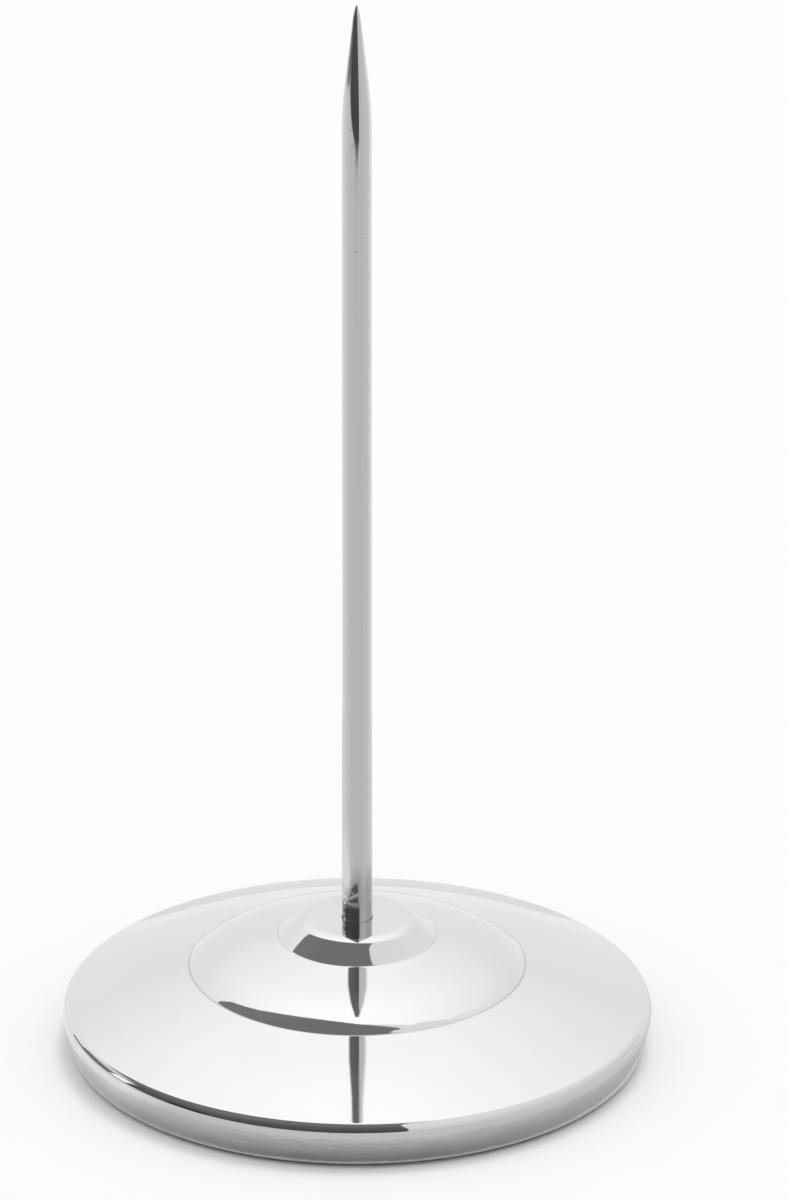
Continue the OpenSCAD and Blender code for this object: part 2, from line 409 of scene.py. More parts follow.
def tapped(corners, low, high, thread_top, count, spread):
    """Grid of a lathe surface round a closed section: an outside, and a hole with a thread in it.

    The hole is countersunk at both ends. Inside it the ridge of the thread follows the bar's groove,
    a gap away from it.
    """
    columns = 192
    hole = THREAD_R + THREAD_GAP
    mouth = COUNTERSINK + 2 * TURNED_EDGE_R
    r, z, _ = section([
        [hole, low + mouth, 0],
        [hole, low + COUNTERSINK, TURNED_EDGE_R],
        [hole + COUNTERSINK, low, TURNED_EDGE_R],
        *corners,
        [hole + COUNTERSINK, high, TURNED_EDGE_R],
        [hole, high - COUNTERSINK, TURNED_EDGE_R],
        [hole, high - mouth, 0],
    ], count, step=0.01 * MM, blend=0.05 * MM, spread=spread)
    hole_z = np.arange(high - mouth, low + mouth, -THREAD_STEP)[1:]
    ridge = thread(hole_z, columns, low + mouth, thread_top, THREAD_PITCH / 2)
    inside = drawn_in(turned(np.full(len(hole_z), hole), hole_z, columns), ridge)
    return np.concatenate([turned(r, z, columns), inside])


def make_ballast():
    """Cast disc with a tapped hub: a lathe surface round a closed section with rounded corners."""
    low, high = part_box("ballast")
    pocket_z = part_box("flat_washer")[1].z
    disc_z = low.z + DISC_T
    slope = math.atan2(BOSS_H, BOSS_R - BOSS_TOP_R)
    hub_r = BOSS_TOP_R - BOSS_EDGE_R * math.tan(slope / 2) - HUB_GAP
    grid = tapped([
        [POCKET_R, pocket_z, CAST_R],
        [POCKET_R, low.z, CAST_EDGE_R],
        [high.x, low.z, CAST_EDGE_R],
        [high.x, disc_z - CAST_R, CAST_EDGE_R],
        [high.x - CAST_R, disc_z, CAST_EDGE_R],
        [HUB_FOOT_R, disc_z, CAST_R],
        [hub_r, high.z, CAST_EDGE_R],
    ], pocket_z, high.z, thread_top=RELIEF_Z - THREAD_PITCH, count=200, spread=LENGTH_STEP)
    return skin("ballast_cast", grid, closed_rows=True)


def make_hex_nut():
    """Hexagon nut: a lathe surface with bevelled ends and a tapped hole, cut off at six flats.

    At each way round, the radius is at most the flat's distance from the axis over the cosine of the
    angle from the middle of that flat.
    """
    low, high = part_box("hex_nut")
    corner = high.x
    flat = corner * math.cos(math.pi / 6)
    thread_top = high.z - COUNTERSINK - 2 * TURNED_EDGE_R
    grid = tapped([
        [flat, low.z, SHEARED_EDGE_R],
        [corner, low.z + NUT_BEVEL, SHEARED_EDGE_R],
        [corner, high.z - NUT_BEVEL, SHEARED_EDGE_R],
        [flat, high.z, SHEARED_EDGE_R],
    ], low.z, high.z, thread_top, count=220, spread=0.02 * MM)
    angle = np.arctan2(grid[:, :, 1], grid[:, :, 0])
    reach = flat / np.cos(angle % (math.pi / 3) - math.pi / 6)
    past = np.maximum(np.hypot(grid[:, :, 0], grid[:, :, 1]) - reach, 0)
    return skin("hex_nut_forged", drawn_in(grid, past), closed_rows=True)


def ring_section(inner_r, outer_r, low, high, lower_edge, upper_edge):
    """Closed section of a flat ring, from the middle of its lower face round to there again."""
    middle = (inner_r + outer_r) / 2
    r, z, _ = section([
        [middle, low, 0],
        [outer_r, low, lower_edge],
        [outer_r, high, upper_edge],
        [inner_r, high, upper_edge],
        [inner_r, low, lower_edge],
        [middle, low, 0],
    ], count=80, step=0.01 * MM, blend=0.03 * MM)
    return r[:-1], z[:-1]


def make_punched_ring(name, stands_for, inner_r):
    """Ring punched from sheet: a lathe surface round a flat section.

    The punch draws the edges of one face down in a round and leaves those of the other nearly sharp.
    """
    low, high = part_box(stands_for)
    r, z = ring_section(inner_r, high.x, low.z, high.z, PUNCHED_EDGE_R, SHEARED_EDGE_R)
    return skin(name, turned(r, z, columns=256), closed_rows=True)


def make_spring_washer():
    """Split ring, pressed flat: a rounded rectangle carried round an arc short of a full turn.

    The rectangle shrinks a little at both ends, which bevels them, and one point closes each.
    """
    low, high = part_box("spring_washer")
    outer_r = -low.x
    middle_r = (WASHER_R + outer_r) / 2
    middle_z = (low.z + high.z) / 2
    r, z = ring_section(WASHER_R, outer_r, low.z, high.z, SPRING_EDGE_R, SPRING_EDGE_R)
    start = SPLIT / 2
    bevel = SPRING_EDGE_R / middle_r
    angle = np.linspace(start + bevel, 2 * math.pi - start - bevel, 180)
    angle = np.concatenate([[start], angle, [2 * math.pi - start]])
    share = np.ones(len(angle))
    share[[0, -1]] = 1 - 2 * SPRING_EDGE_R / (outer_r - WASHER_R)
    across = middle_r + np.outer(share, r - middle_r)
    up = middle_z + np.outer(share, z - middle_z)
    grid = np.stack([across * np.cos(angle)[:, None], across * np.sin(angle)[:, None], up], -1)
    first, last = (
        [middle_r * math.cos(end), middle_r * math.sin(end), middle_z] for end in (angle[0], angle[-1])
    )
    return skin("spring_washer_coiled", grid, first_pole=first, last_pole=last)


def node(tree, kind, inputs=None, **settings):
    """One shader node with its settings; an input is a value, or a socket to link."""
    made = tree.nodes.new(kind)
    for key, value in settings.items():
        setattr(made, key, value)
    for key, value in (inputs or {}).items():
        if isinstance(value, bpy.types.NodeSocket):
            tree.links.new(value, made.inputs[key])
        else:
            made.inputs[key].default_value = value
    return made


def sums(tree, operation, first, *others):
    """Arithmetic on numbers or sockets, one step after another."""
    for other in others or (0.0,):
        first = node(tree, "ShaderNodeMath", {0: first, 1: other}, operation=operation).outputs[0]
    return first


def rest(tree, share):
    """One less a share."""
    return sums(tree, "SUBTRACT", 1.0, share)


def off(tree, value, centre):
    """How far a value is from a centre, either way."""
    return sums(tree, "ABSOLUTE", sums(tree, "SUBTRACT", value, centre))


def ramp(tree, value, start, end, low, high, way="LINEAR"):
    """A value that goes from low to high while the input goes from start to end, and then stays."""
    return node(tree, "ShaderNodeMapRange", {
        "Value": value, "From Min": start, "From Max": end, "To Min": low, "To Max": high,
    }, interpolation_type=way).outputs["Result"]


def rising(tree, value, start, end):
    """Nought up to start and one from end on."""
    return ramp(tree, value, start, end, 0.0, 1.0)


def falling(tree, value, start, end):
    """One up to start and nought from end on."""
    return ramp(tree, value, start, end, 1.0, 0.0)


def between(tree, share, first, second):
    """A number between two others: the first at a share of nought, the second at one."""
    mix = node(tree, "ShaderNodeMix", {0: share, 2: first, 3: second}, data_type="FLOAT")
    return mix.outputs[0]


def tint(tree, share, first, second):
    """A colour between two others, each given as a triple or a socket."""
    ends = [end if isinstance(end, bpy.types.NodeSocket) else (*end, 1) for end in (first, second)]
    mix = node(tree, "ShaderNodeMix", {"Factor": share, 6: ends[0], 7: ends[1]}, data_type="RGBA")
    return mix.outputs[2]


def noise(tree, vector, scale=1.0, detail=2.0):
    """Soft random values about one half."""
    return node(tree, "ShaderNodeTexNoise", {
        "Vector": vector, "Scale": scale, "Detail": detail,
    }).outputs["Fac"]


def bump(tree, height, depth, under=None):
    """Surface relief of the given depth in metres, laid over another relief."""
    inputs = {"Height": height, "Strength": 1.0, "Distance": depth}
    if under is not None:
        inputs["Normal"] = under
    return node(tree, "ShaderNodeBump", inputs).outputs["Normal"]


def new_finish(name, metallic):
    """A new material, its node tree and its main shader."""
    material = bpy.data.materials.new(name)
    material.use_nodes = True
    tree = material.node_tree
    shader = tree.nodes["Principled BSDF"]
    shader.inputs["Metallic"].default_value = metallic
    return material, tree, shader


def put(tree, shader, **sockets):
    """Links sockets to the shader's inputs, named with _ for a space."""
    for name, socket in sockets.items():
        tree.links.new(socket, shader.inputs[name.replace("_", " ")])


def object_place(tree):
    """Where a point of a piece is."""
    return node(tree, "ShaderNodeTexCoord").outputs["Object"]


def turned_place(tree):
    """Where a point of a turned piece is: its place, distance from the axis, way round and height."""
    place = object_place(tree)
    flat = node(tree, "ShaderNodeVectorMath", {0: place, 1: (1, 1, 0)}, operation="MULTIPLY").outputs[0]
    radius = node(tree, "ShaderNodeVectorMath", {0: flat}, operation="LENGTH").outputs["Value"]
    way = node(tree, "ShaderNodeVectorMath", {0: flat}, operation="NORMALIZE").outputs[0]
    height = node(tree, "ShaderNodeSeparateXYZ", {0: place}).outputs["Z"]
    return place, radius, way, height


def streaks(tree, way, round_scale, along, along_scale, detail=2.0):
    """Noise on a turned piece, with its own scale round the axis and along the section."""
    lift = sums(tree, "MULTIPLY", along, along_scale)
    vector = node(tree, "ShaderNodeVectorMath", {
        0: way, 1: (round_scale, round_scale, 0),
        2: node(tree, "ShaderNodeCombineXYZ", {"Z": lift}).outputs[0],
    }, operation="MULTIPLY_ADD").outputs[0]
    return noise(tree, vector, 1.0, detail)


def hairlines(tree, place, turn, scale):
    """Thin scratches, where a noise that is stretched along one direction crosses one half."""
    vector = node(tree, "ShaderNodeMapping", {
        "Vector": place, "Rotation": (0.3, 0.2, turn), "Scale": (scale, scale / 40, scale),
    }).outputs[0]
    return falling(tree, off(tree, noise(tree, vector, 1.0, 0.0), 0.5), 0.0, 0.006)


def spots(tree, place, centres, core, reach):
    """One within core of any of the centres, falling to nought at reach."""
    found = []
    for centre in centres:
        gap = node(tree, "ShaderNodeVectorMath", {0: place, 1: centre}, operation="DISTANCE")
        found.append(ramp(tree, gap.outputs["Value"], core, reach, 1.0, 0.0, "SMOOTHSTEP"))
    return sums(tree, "MAXIMUM", *found)


def polished_sheet():
    """Pressed steel, polished on a turning mop.

    Fine lines run round the axis, the wall is a little wavy, thin scratches cross it, and the two
    creases are coloured darker grey, in patches.
    """
    material, tree, shader = new_finish("polished_sheet", 1)
    place, radius, way, height = turned_place(tree)
    along = sums(tree, "SUBTRACT", radius, height)
    mop_lines = streaks(tree, way, 7, along, 9000, 3)
    cloud = noise(tree, place, 60, 3)
    scratch = sums(
        tree, "MAXIMUM", hairlines(tree, place, 0.4, 900), hairlines(tree, place, 2.1, 700)
    )
    # the two creases are coloured darker grey, in patches
    creases = [
        ramp(tree, off(tree, radius, at), 0.02 * MM, 0.2 * MM, amount, 0.0)
        for at, amount in ((DOME_R, 0.5), (BOSS_R, 0.2))
    ]
    patchy = ramp(tree, streaks(tree, way, 5, along, 100), 0.3, 0.7, 0.8, 1.0)
    crease_grey = sums(tree, "MULTIPLY", sums(tree, "MAXIMUM", *creases), patchy)
    clean = tint(tree, rising(tree, cloud, 0.3, 0.7), (0.738, 0.74, 0.745), (0.762, 0.762, 0.765))
    wall = ramp(tree, height, RIM_Z - 2.2 * MM, RIM_Z - 1.2 * MM, 1.0, 0.0, "SMOOTHSTEP")
    waves = sums(tree, "MULTIPLY", wall, streaks(tree, way, 9, height, 420, 2))
    put(
        tree, shader,
        Base_Color=tint(tree, crease_grey, clean, (0.24, 0.24, 0.235)),
        Roughness=sums(
            tree, "ADD",
            ramp(tree, mop_lines, 0.3, 0.7, 0.025, 0.05),
            sums(tree, "MULTIPLY", scratch, 0.04),
            sums(tree, "MULTIPLY", crease_grey, 0.3),
        ),
        Normal=bump(tree, mop_lines, 0.0002 * MM, bump(tree, waves, 0.12 * MM)),
    )
    return material


def bar_pits(tree, place):
    """Tiny round pits, in about one of every ten cells of a cell pattern."""
    cells = node(tree, "ShaderNodeTexVoronoi", {"Vector": place, "Scale": 1100.0})
    pick = node(tree, "ShaderNodeSeparateColor", {0: cells.outputs["Color"]}).outputs[0]
    return sums(
        tree, "MULTIPLY",
        ramp(tree, cells.outputs["Distance"], 0.06, 0.16, 1.0, 0.0, "SMOOTHSTEP"),
        rising(tree, pick, 0.9, 0.92),
    )


def painted_dark_reflection(tree, place, side, front, height):
    """Painted dark reflection above the foot: mottled, narrower at its top, one slanting lighter line.
    """
    left_edge = ramp(tree, height, DARK_PATCH_Z + 0.6 * MM, DARK_PATCH_Z + 3.7 * MM, -0.64, -0.28)
    span = sums(
        tree, "MULTIPLY",
        rising(tree, height, DARK_PATCH_Z - 0.2 * MM, DARK_PATCH_Z + 0.2 * MM),
        falling(tree, height, DARK_PATCH_Z + 3.2 * MM, DARK_PATCH_Z + 4.4 * MM),
        rising(tree, sums(tree, "SUBTRACT", side, left_edge), -0.1, 0.1),
        falling(tree, side, 0.05, 0.13),
        front,
    )
    slant = sums(tree, "SUBTRACT", height, sums(tree, "MULTIPLY", side, 1.6 * MM))
    lighter_line = ramp(tree, off(tree, slant, DARK_PATCH_Z + 1.6 * MM), 0.2 * MM, 0.4 * MM, 0.75, 0.0)
    mottle = ramp(tree, noise(tree, place, 1100, 4), 0.36, 0.52, 0.5, 1.0)
    return sums(tree, "MULTIPLY", span, mottle, rest(tree, lighter_line))


def painted_shade_band(tree, side, height):
    """Painted shade: a band whose upper edge sinks to the left by a square law, thinner along one line.
    """
    left = sums(tree, "MINIMUM", sums(tree, "SUBTRACT", side, 0.05), 0.0)
    sunk = sums(tree, "ADD", height, sums(tree, "MULTIPLY", left, left, SHADE_BAND_FALL))
    return sums(
        tree, "MULTIPLY",
        ramp(tree, sunk, SHADE_BAND_Z - 2.5 * MM, SHADE_BAND_Z + 0.8 * MM, 0.38, 0.0),
        ramp(tree, off(tree, side, 0.42), 0.1, 0.25, 0.55, 1.0),
    )


def bar_grit(tree, place, side, front, height):
    """Dark grit along the left edge of the foot, where a fine noise is high."""
    return sums(
        tree, "MULTIPLY",
        falling(tree, side, -0.74, -0.62),
        falling(tree, height, DARK_PATCH_Z - 0.6 * MM, DARK_PATCH_Z),
        front,
        ramp(tree, noise(tree, place, 2600, 2), 0.47, 0.53, 0.0, 0.95),
    )


def bright_bar():
    """Drawn bright bar with a ground point, its marks of use, and painted shade and glints.

    Lines run along it, tiny pits lie in it, rings of grinding go round its point, and its foot is
    scored. Grit and specks darken its foot, and scuffs lie below its point. Painted shade darkens it
    above its foot, as a dark reflection and a band, and two white matte specks are painted glints.
    """
    material, tree, shader = new_finish("bright_bar", 1)
    place, _, way, height = turned_place(tree)
    parts = node(tree, "ShaderNodeSeparateXYZ", {0: way}).outputs
    side = parts["X"]
    front = falling(tree, parts["Y"], -0.1, 0.0)
    drawn = streaks(tree, way, 14, height, 25, 3)
    rings = streaks(tree, way, 2, height, 9000, 2)
    ground = rising(tree, height, POINT_Z - 4 * MM, POINT_Z + 2 * MM)
    pit = bar_pits(tree, place)
    foot = sums(
        tree, "MULTIPLY",
        falling(tree, height, DARK_PATCH_Z, DARK_PATCH_Z + 1.2 * MM),
        falling(tree, side, -0.8, -0.62),
    )
    score = sums(tree, "MULTIPLY", foot, noise(tree, place, 1700, 2))
    speck_noise = ramp(tree, noise(tree, place, 2300, 3), 0.5, 0.56, 0.0, 0.9)
    scuff_noise = ramp(tree, noise(tree, place, 1900, 3), 0.45, 0.6, 0.05, 0.4)
    # painted highlights: two white matte specks stand for glints
    glint = spots(tree, place, GLINTS, 0.16 * MM, 0.3 * MM)
    # real wear marks together with painted shade above the foot
    wear_and_painted_shade = sums(
        tree, "MAXIMUM",
        painted_dark_reflection(tree, place, side, front, height),
        sums(tree, "MULTIPLY", foot, speck_noise),
        painted_shade_band(tree, side, height),
        bar_grit(tree, place, side, front, height),
        sums(tree, "MULTIPLY", spots(tree, place, SCUFFS, 0.25 * MM, 0.7 * MM), scuff_noise),
    )
    wear_and_painted_shade = sums(tree, "MULTIPLY", wear_and_painted_shade, rest(tree, glint))
    dark = sums(
        tree, "MAXIMUM", sums(tree, "MULTIPLY", pit, 0.45), sums(tree, "MULTIPLY", wear_and_painted_shade, 0.9)
    )
    clean = tint(tree, rising(tree, drawn, 0.3, 0.7), (0.655, 0.655, 0.66), (0.69, 0.69, 0.693))
    colour = tint(tree, dark, clean, (0.1, 0.1, 0.1))
    relief = bump(tree, drawn, 0.0012 * MM)
    relief = bump(tree, sums(tree, "MULTIPLY", rings, ground), 0.0006 * MM, relief)
    relief = bump(tree, sums(tree, "SUBTRACT", score, pit), 0.1 * MM, relief)
    put(
        tree, shader,
        Base_Color=tint(tree, glint, colour, (0.96, 0.96, 0.96)),
        Roughness=sums(
            tree, "ADD",
            ramp(tree, drawn, 0.3, 0.7, 0.045, 0.085),
            sums(tree, "MULTIPLY", glint, 0.4),
            sums(tree, "MULTIPLY", ground, 0.03),
            sums(tree, "MULTIPLY", sums(tree, "MAXIMUM", pit, wear_and_painted_shade), 0.2),
        ),
        Normal=relief,
        Metallic=rest(tree, glint),
    )
    return material


def foot_rubber():
    """Black rubber sheet with the weave of the press cloth in it, grey where dust clings."""
    material, tree, shader = new_finish("foot_rubber", 0)
    place = object_place(tree)
    threads = [
        node(tree, "ShaderNodeTexWave", {
            "Vector": place, "Scale": 210.0, "Distortion": 0.6, "Detail": 1.0, "Detail Scale": 2.0,
        }, bands_direction=axis).outputs["Fac"]
        for axis in "XY"
    ]
    weave = sums(tree, "MULTIPLY", *threads)
    dust = rising(tree, noise(tree, place, 90, 5), 0.5, 0.75)
    put(
        tree, shader,
        Base_Color=tint(tree, dust, (0.03, 0.03, 0.031), (0.075, 0.073, 0.07)),
        Roughness=ramp(tree, weave, 0.0, 1.0, 0.62, 0.8),
        Normal=bump(tree, noise(tree, place, 1500, 2), 0.02 * MM, bump(tree, weave, 0.06 * MM)),
    )
    return material


def cast_iron():
    """Grey iron as it leaves the sand: a grainy skin, dull, with a little rust."""
    material, tree, shader = new_finish("cast_iron", 0.6)
    place = object_place(tree)
    sand = noise(tree, place, 1400, 4)
    rust = ramp(tree, noise(tree, place, 130, 5), 0.56, 0.7, 0.0, 0.7)
    put(
        tree, shader,
        Base_Color=tint(tree, rust, (0.19, 0.19, 0.2), (0.2, 0.12, 0.07)),
        Roughness=ramp(tree, sand, 0.3, 0.7, 0.55, 0.8),
        Normal=bump(tree, sand, 0.12 * MM),
    )
    return material


def zinc_steel():
    """Bright zinc plating: cloudy, with faint bluish crystals."""
    material, tree, shader = new_finish("zinc_steel", 1)
    place = object_place(tree)
    crystal = node(tree, "ShaderNodeTexVoronoi", {"Vector": place, "Scale": 900.0})
    cloud = noise(tree, place, 300, 4)
    put(
        tree, shader,
        Base_Color=tint(tree, crystal.outputs["Color"], (0.6, 0.62, 0.64), (0.72, 0.72, 0.69)),
        Roughness=ramp(tree, cloud, 0.3, 0.7, 0.24, 0.42),
        Normal=bump(tree, cloud, 0.01 * MM),
    )
    return material


def spring_steel():
    """Oiled spring steel: dark, with drawing lines round the ring and patches of oil."""
    material, tree, shader = new_finish("spring_steel", 1)
    place, radius, way, height = turned_place(tree)
    lines = streaks(tree, way, 4, sums(tree, "ADD", radius, height), 6000, 2)
    oil = noise(tree, place, 400, 3)
    put(
        tree, shader,
        Base_Color=tint(tree, oil, (0.26, 0.25, 0.24), (0.46, 0.46, 0.47)),
        Roughness=ramp(tree, oil, 0.3, 0.7, 0.22, 0.45),
        Normal=bump(tree, lines, 0.008 * MM),
    )
    return material


def plate_steel():
    """Cold-rolled sheet: straight rolling lines, and dull patches from handling."""
    material, tree, shader = new_finish("plate_steel", 1)
    place = object_place(tree)
    rolled = node(tree, "ShaderNodeMapping", {"Vector": place, "Scale": (40, 4000, 400)}).outputs[0]
    lines = noise(tree, rolled, 1.0, 3)
    patches = noise(tree, place, 120, 3)
    put(
        tree, shader,
        Base_Color=tint(tree, patches, (0.48, 0.49, 0.5), (0.6, 0.6, 0.6)),
        Roughness=sums(
            tree, "ADD",
            ramp(tree, patches, 0.3, 0.7, 0.24, 0.4),
            sums(tree, "MULTIPLY", lines, 0.08),
        ),
        Normal=bump(tree, lines, 0.004 * MM),
    )
    return material


def card(name, corners, faces, material):
    """A studio card from its corner points."""
    mesh = bpy.data.meshes.new(name)
    mesh.from_pydata(corners, [], faces)
    mesh.materials.append(material)
    mesh.update()
    made = bpy.data.objects.new(name, mesh)
    bpy.context.scene.collection.objects.link(made)
    return made


def only_in_reflections(made):
    """The card shapes what polished metal mirrors, and neither hides nor lights anything else."""
    made.visible_camera = False
    made.visible_diffuse = False
    made.visible_shadow = False
    made.visible_transmission = False


def bare_material(name):
    """A material with an empty node tree, for a card."""
    material = bpy.data.materials.new(name)
    material.use_nodes = True
    material.node_tree.nodes.clear()
    return material, material.node_tree


def make_floor():
    """A wide pale floor, dull all over."""
    material, _, shader = new_finish("floor_white", 0)
    shader.inputs["Base Color"].default_value = (FLOOR_WHITE, FLOOR_WHITE, FLOOR_WHITE, 1)
    shader.inputs["Roughness"].default_value = 0.9
    shader.inputs["Specular IOR Level"].default_value = 0.0
    card("floor", [
        (-FLOOR_HALF, -FLOOR_HALF, FLOOR_Z), (FLOOR_HALF, -FLOOR_HALF, FLOOR_Z),
        (FLOOR_HALF, FLOOR_HALF, FLOOR_Z), (-FLOOR_HALF, FLOOR_HALF, FLOOR_Z),
    ], [(0, 1, 2, 3)], material)


def way_round(tree, place):
    """Angle round the axis in degrees, nought towards the front and rising to the right."""
    parts = node(tree, "ShaderNodeSeparateXYZ", {0: place}).outputs
    forward = sums(tree, "MULTIPLY", parts["Y"], -1.0)
    angle = sums(tree, "ARCTAN2", parts["X"], forward)
    return sums(tree, "MULTIPLY", angle, 180 / math.pi)


def met_floor(tree):
    """Nought where metal mirrors the card to the eye, and one where it mirrors it to the floor."""
    return rising(tree, node(tree, "ShaderNodeLightPath").outputs["Diffuse Depth"], 0, 1)


def dark_level(tree):
    """How bright the dark room is at a point.

    It rises from the floor to the ceiling. The far end of the left wall and a strip at its foot are
    grey, the corner is darker low down, and a window and a pale slot are let into the left wall.
    """
    place = object_place(tree)
    angle = way_round(tree, place)
    height = node(tree, "ShaderNodeSeparateXYZ", {0: place}).outputs["Z"]
    strip = sums(
        tree, "MULTIPLY", falling(tree, height, 0.03, 0.08), falling(tree, angle, -82, -74)
    )
    grey = sums(tree, "MAXIMUM", strip, falling(tree, angle, -108, -98))
    level = ramp(tree, height, 0.0, CEILING, DARK_FOOT_LEVEL, DARK_TOP_LEVEL)
    level = between(tree, grey, level, DARK_BACK_LEVEL)
    corner = sums(
        tree, "MULTIPLY",
        falling(tree, height, 0.1, 0.25),
        ramp(tree, off(tree, angle, CORNER_DEGREES), 6, 11, CORNER_LOSS, 0.0),
    )
    window = sums(
        tree, "MULTIPLY",
        ramp(tree, off(tree, angle, WINDOW_DEGREES), 3.5, 5.5, WINDOW_LEVEL, 0.0),
        falling(tree, height, 0.22, 0.3),
        rising(tree, height, 0.04, 0.1),
    )
    slot = sums(
        tree, "MULTIPLY",
        ramp(tree, off(tree, height, SLOT_Z), 0.06, 0.1, SLOT_LEVEL, 0.0),
        falling(tree, angle, -108, -100),
    )
    return sums(
        tree, "ADD",
        sums(tree, "MULTIPLY", level, rest(tree, corner)),
        sums(tree, "MAXIMUM", window, slot),
    )


def make_dark_room():
    """The dark front wall, left wall and ceiling, which count as white where they light the floor."""
    material, tree = bare_material("dark_room")
    level = between(tree, met_floor(tree), dark_level(tree), FRONT_LEVEL)
    glow = node(tree, "ShaderNodeEmission", {"Strength": level}).outputs["Emission"]
    node(tree, "ShaderNodeOutputMaterial", {"Surface": glow})
    for name, outline in (
        ("dark_front", [(x, WALL_Y, z) for x, z in FRONT_WALL]),
        ("dark_left", [(CORNER_X + LEFT_LEAN * (y - WALL_Y), y, z) for y, z in LEFT_WALL]),
        ("dark_ceiling", [(x, y, CEILING) for x, y in DARK_CEILING]),
    ):
        only_in_reflections(card(name, outline, [tuple(range(len(outline)))], material))


def veil_round(tree, angle):
    """The veil's share of light by way round: straight lines between the stops."""
    scale = node(tree, "ShaderNodeValToRGB", {"Fac": rising(tree, angle, -180, 180)})
    stops = scale.color_ramp.elements
    for number, (degrees, share) in enumerate(VEIL_STOPS):
        at = (degrees + 180) / 360
        stop = stops[number] if number < 2 else stops.new(at)
        stop.position = at
        stop.color = (share, share, share, 1)
    return scale.outputs["Color"]


def veil_close(tree, angle, aside, radius):
    """The veil's share of light in the ring close to the base, and under its rim.

    The ring takes most at the front, and much less on both sides and behind.
    """
    on_left = sums(
        tree, "MULTIPLY",
        ramp(tree, aside, 25, 85, 0.55, 0.28),
        ramp(tree, angle, -45, -12, 0.55, 1.0),
    )
    on_right = ramp(tree, angle, 12, 70, 0.58, 0.18)
    taken = sums(tree, "MINIMUM", on_left, on_right)
    taken = between(tree, rising(tree, aside, 120, 160), taken, VEIL_LOSS)
    ring = ramp(tree, radius, BASE_R, BASE_R + VEIL_CLOSE_W, 1.0, 0.0, "SMOOTHSTEP")
    under = ramp(tree, radius, BASE_R - 2 * MM, BASE_R - 1.6 * MM, VEIL_UNDER_SHARE, 1.0)
    return sums(tree, "MULTIPLY", rest(tree, sums(tree, "MULTIPLY", ring, taken)), under)


def veil_share(tree, angle, radius):
    """The share of light that the veil lets through: by way round, times its share in places.

    It takes VEIL_LOSS near by behind the base and everywhere on the right, and gives VEIL_GAIN near
    by on the left, but the share stays at one or less.
    """
    aside = sums(tree, "ABSOLUTE", angle)
    behind = sums(
        tree, "MULTIPLY",
        ramp(tree, aside, 110, 140, 0.0, VEIL_LOSS),
        falling(tree, radius, 0.125, 0.14),
    )
    on_right = sums(
        tree, "MULTIPLY",
        ramp(tree, angle, 12, 30, 0.0, VEIL_LOSS),
        sums(tree, "MAXIMUM", falling(tree, radius, 0.07, 0.1), falling(tree, angle, 95, 125)),
    )
    on_left = sums(
        tree, "MINIMUM",
        ramp(tree, angle, -64, -48, VEIL_GAIN, 1.0),
        ramp(tree, angle, -150, -110, 1.0, VEIL_GAIN),
    )
    share = sums(
        tree, "MULTIPLY",
        veil_close(tree, angle, aside, radius),
        rest(tree, sums(tree, "MAXIMUM", behind, on_right)),
        veil_round(tree, angle),
        between(tree, falling(tree, radius, 0.07, 0.09), 1.0, on_left),
    )
    return sums(tree, "MINIMUM", share, 1.0)


def make_floor_veil():
    """A clear ring that darkens the floor as metal sees it, and a glowing painted line under the rim."""
    material, tree = bare_material("floor_shade")
    place = object_place(tree)
    angle = way_round(tree, place)
    radius = node(tree, "ShaderNodeVectorMath", {0: place}, operation="LENGTH").outputs["Value"]
    share = between(tree, met_floor(tree), veil_share(tree, angle, radius), 1.0)
    veil = node(tree, "ShaderNodeBsdfTransparent", {"Color": share}).outputs["BSDF"]
    # painted light: a glowing line under the rim, which the foot of the wall mirrors
    lip = sums(
        tree, "MULTIPLY",
        ramp(tree, off(tree, radius, GLOW_LINE_R), 0.3 * MM, 0.7 * MM, GLOW_LINE_LEVEL, 0.0),
        ramp(tree, angle, -60, -20, 0.4, 1.0),
    )
    glow = node(tree, "ShaderNodeEmission", {"Strength": lip}).outputs["Emission"]
    both = node(tree, "ShaderNodeAddShader", {0: veil, 1: glow}).outputs["Shader"]
    node(tree, "ShaderNodeOutputMaterial", {"Surface": both})
    here = np.arange(VEIL_SIDES)
    after = (here + 1) % VEIL_SIDES
    corners = turned([VEIL_IN, VEIL_OUT], [0, 0], VEIL_SIDES).reshape(-1, 3)
    faces = np.stack([here, after, after + VEIL_SIDES, here + VEIL_SIDES], -1)
    only_in_reflections(card("floor_shade", corners.tolist(), faces.tolist(), material))


def make_lamp():
    """A soft lamp above, which metal doesn't mirror."""
    lamp_data = bpy.data.lights.new("overhead", "SUN")
    lamp_data.angle = LAMP_WIDTH
    lamp_data.energy = LAMP_POWER
    lamp = bpy.data.objects.new("overhead", lamp_data)
    bpy.context.scene.collection.objects.link(lamp)
    lamp.rotation_mode = "QUATERNION"
    lamp.rotation_quaternion = Vector(LAMP_WAY).to_track_quat("-Z", "Y")
    lamp.visible_glossy = False
    lamp.visible_camera = False


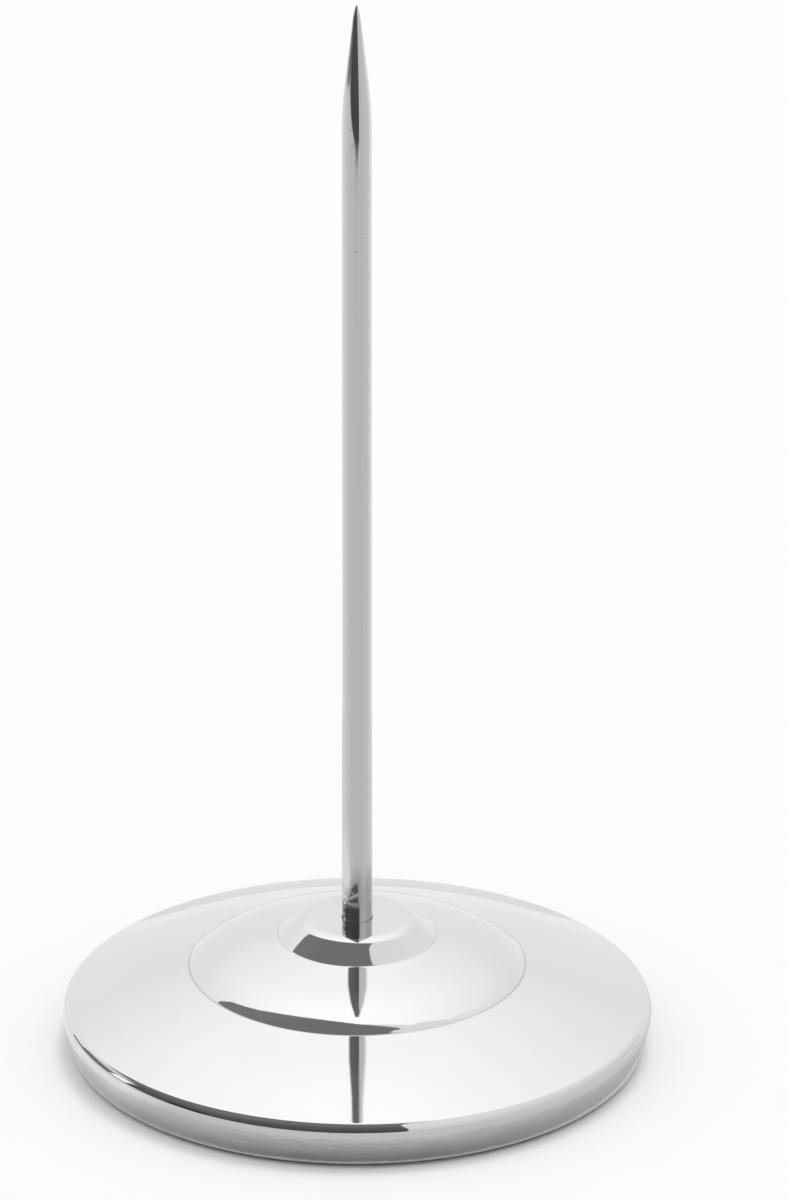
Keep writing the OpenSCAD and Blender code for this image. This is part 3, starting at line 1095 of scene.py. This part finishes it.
def back_level(tree, parts):
    """How bright the surround is behind, by direction.

    Overhead is a softbox that fades to both sides. On its right is a grey panel, whose rear edge has
    two straight parts and gets softer to the right. Across and back are the direction's slopes, which
    are places on a ceiling one unit up.
    """
    up = sums(tree, "MAXIMUM", parts["Z"], 0.001)
    across = sums(tree, "DIVIDE", parts["X"], up)
    back = sums(tree, "DIVIDE", parts["Y"], up)
    softbox = ramp(tree, parts["Z"], 0.38, 0.95, BACK_LEVEL, SOFTBOX_LEVEL)
    middle = sums(
        tree, "MULTIPLY",
        ramp(tree, across, 0.0, 1.2, 1.0, 0.3),
        ramp(tree, across, -1.6, -0.4, 0.45, 1.0, "SMOOTHSTEP"),
    )
    edge = sums(
        tree, "MAXIMUM",
        sums(tree, "SUBTRACT", sums(tree, "MULTIPLY", across, 0.48), 0.13),
        sums(tree, "SUBTRACT", sums(tree, "MULTIPLY", across, 1.2), 0.58),
    )
    softness = ramp(tree, across, 0.6, 2.6, 0.02, 1.02)
    past = sums(tree, "DIVIDE", sums(tree, "SUBTRACT", back, edge), softness)
    panel = sums(
        tree, "MULTIPLY", falling(tree, past, -1.0, 1.0), rising(tree, across, 0.34, 0.37)
    )
    return between(tree, panel, between(tree, middle, BACK_LEVEL, softbox), PANEL_LEVEL)


def make_surround():
    """White surround: what is seen in it, and the weaker fill that lights the floor.

    As metal mirrors it, it loses LOW_LOSS towards the floor, in front and on the right.
    """
    world = bpy.data.worlds.new("studio")
    bpy.context.scene.world = world
    world.use_nodes = True
    tree = world.node_tree
    tree.nodes.clear()
    way = node(tree, "ShaderNodeTexCoord").outputs["Generated"]
    parts = node(tree, "ShaderNodeSeparateXYZ", {0: way}).outputs
    behind = rising(tree, parts["Y"], -0.01, 0.01)
    rays = node(tree, "ShaderNodeLightPath").outputs
    mirrored = sums(tree, "MAXIMUM", rays["Is Glossy Ray"], rays["Is Transmission Ray"])
    lost = sums(
        tree, "MULTIPLY",
        sums(tree, "MAXIMUM", rising(tree, parts["X"], 0.45, 0.8), rest(tree, behind)),
        mirrored,
        ramp(tree, parts["Z"], 0.0, 0.7, LOW_LOSS, 0.0),
    )
    seen = between(tree, behind, FRONT_LEVEL, back_level(tree, parts))
    seen = sums(tree, "MULTIPLY", seen, rest(tree, lost))
    looked_at = sums(tree, "MAXIMUM", rays["Is Camera Ray"], mirrored)
    light = node(tree, "ShaderNodeBackground", {
        "Color": (1, 1, 1, 1), "Strength": between(tree, looked_at, FILL, seen),
    }).outputs["Background"]
    node(tree, "ShaderNodeOutputWorld", {"Surface": light})


def make_camera():
    """Camera at the photograph's angle, far off, with the photograph's scale at the object."""
    camera_data = bpy.data.cameras.new("camera")
    camera = bpy.data.objects.new("camera", camera_data)
    bpy.context.scene.collection.objects.link(camera)
    bpy.context.scene.camera = camera
    aim = Vector((
        (PHOTO_W / 2 - AXIS_PX) / PX_PER_M, 0,
        (TABLE_PX - PHOTO_H / 2) / PX_PER_M / math.cos(CAMERA_ELEVATION),
    ))
    back_way = Vector((0, -math.cos(CAMERA_ELEVATION), math.sin(CAMERA_ELEVATION)))
    camera.location = aim + back_way * CAMERA_DISTANCE
    camera.rotation_mode = "QUATERNION"
    camera.rotation_quaternion = (-back_way).to_track_quat("-Z", "Y")
    camera_data.sensor_width = SENSOR_MM
    camera_data.lens = SENSOR_MM * CAMERA_DISTANCE * PX_PER_M / PHOTO_H
    camera_data.clip_end = 4 * CAMERA_DISTANCE


FINISHES = {
    "polished_sheet": polished_sheet(),
    "bright_bar": bright_bar(),
    "foot_rubber": foot_rubber(),
    "cast_iron": cast_iron(),
    "zinc_steel": zinc_steel(),
    "spring_steel": spring_steel(),
    "plate_steel": plate_steel(),
}

# New pieces, each with the node it stands for
for piece, stands_for, finish in (
    (make_cover(), "base_cover", "polished_sheet"),
    (make_spike(), "spike", "bright_bar"),
    (make_rubber_foot(), "rubber_foot", "foot_rubber"),
    (make_ballast(), "ballast", "cast_iron"),
    (make_punched_ring("flat_washer_punched", "flat_washer", WASHER_R), "flat_washer", "zinc_steel"),
    (make_spring_washer(), "spring_washer", "spring_steel"),
    (make_hex_nut(), "hex_nut", "zinc_steel"),
    (make_punched_ring("bottom_plate_punched", "bottom_plate", POCKET_R), "bottom_plate", "plate_steel"),
):
    piece.data.materials.append(FINISHES[finish])
    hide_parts(stands_for)
    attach(piece, "root")

make_floor()
make_dark_room()
make_floor_veil()
make_lamp()
make_surround()
make_camera()
bpy.context.scene.view_settings.view_transform = "Standard"
